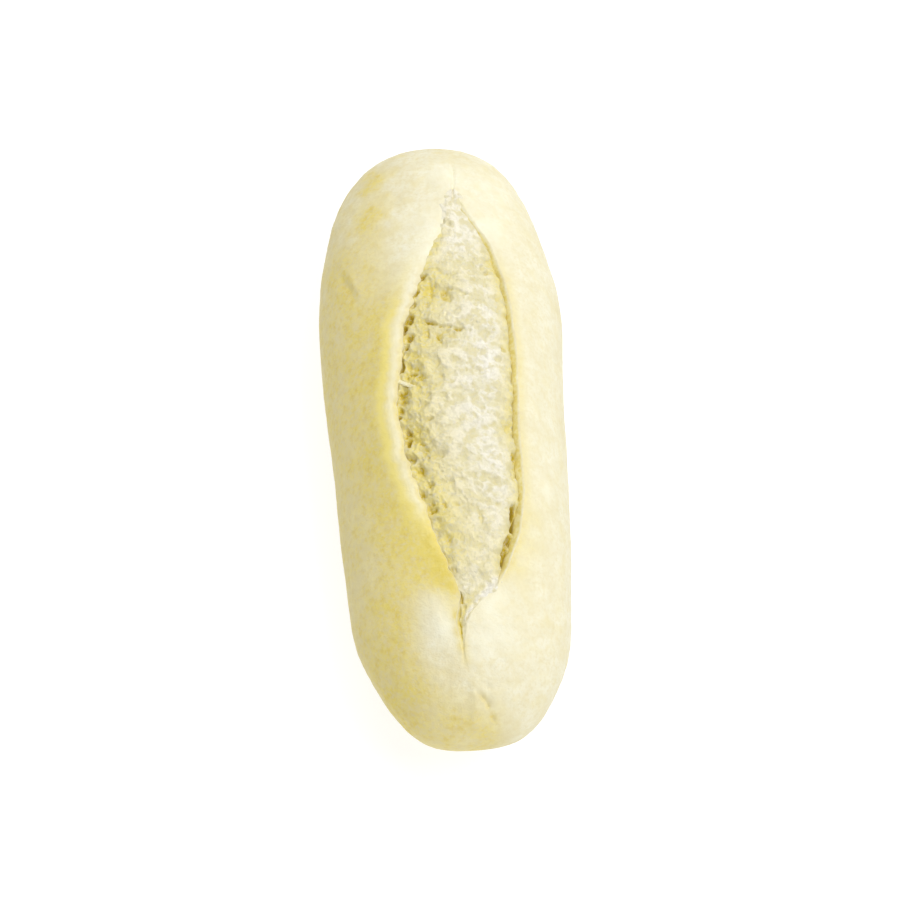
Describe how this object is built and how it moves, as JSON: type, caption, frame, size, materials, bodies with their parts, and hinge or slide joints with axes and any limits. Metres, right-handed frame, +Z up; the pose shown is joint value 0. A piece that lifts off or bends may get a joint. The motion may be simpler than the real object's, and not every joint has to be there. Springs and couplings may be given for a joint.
{
  "type": "sub roll",
  "caption": "Short oblong white bread roll with rounded ends, a flat base and one long score burst open along the top to show torn crumb between its lips.",
  "frame": {"origin": "centre of the roll's outline, on the surface that it rests on", "axes": "+Y along the roll towards its broader end, +Z up out of the score, +X to the right of someone who looks along +Y"},
  "size_m": [0.0642, 0.17, 0.0478],
  "materials": {
    "crust": "matte pale baked crust, lightly floured, with golden shading on its slopes",
    "crumb": "dull torn white crumb, full of fine bubbles"
  },
  "bodies": {
    "root": {"sub_roll": "crust"}
  },
  "joints": []
}
